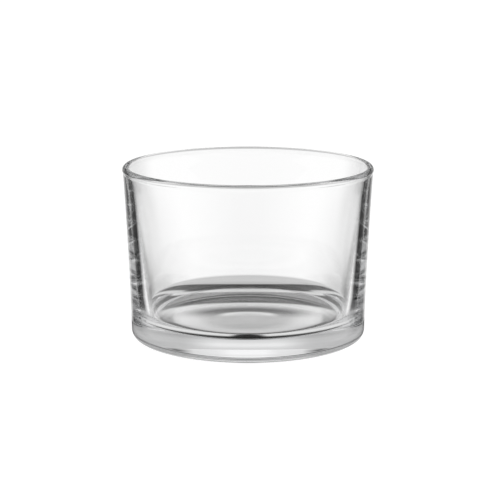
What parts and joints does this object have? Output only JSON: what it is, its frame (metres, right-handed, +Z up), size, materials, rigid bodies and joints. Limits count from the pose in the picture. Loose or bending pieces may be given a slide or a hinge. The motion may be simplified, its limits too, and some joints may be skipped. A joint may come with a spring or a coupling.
{
  "type": "crystallizing dish",
  "caption": "Round clear glass dish with a heavy base, a slightly tapered wall and a fire-polished rim, open at the top and with no spout.",
  "frame": {"origin": "on the dish's axis, in the plane of the standing ring that it rests on", "axes": "+Z up, along the axis of the round dish; +X and +Y are alike, because the dish is round"},
  "size_m": [0.1, 0.1, 0.0695],
  "materials": {
    "clear_glass": "pressed and fire-polished, smooth and glossy inside and out"
  },
  "bodies": {
    "root": {"dish": "clear_glass"}
  },
  "joints": []
}
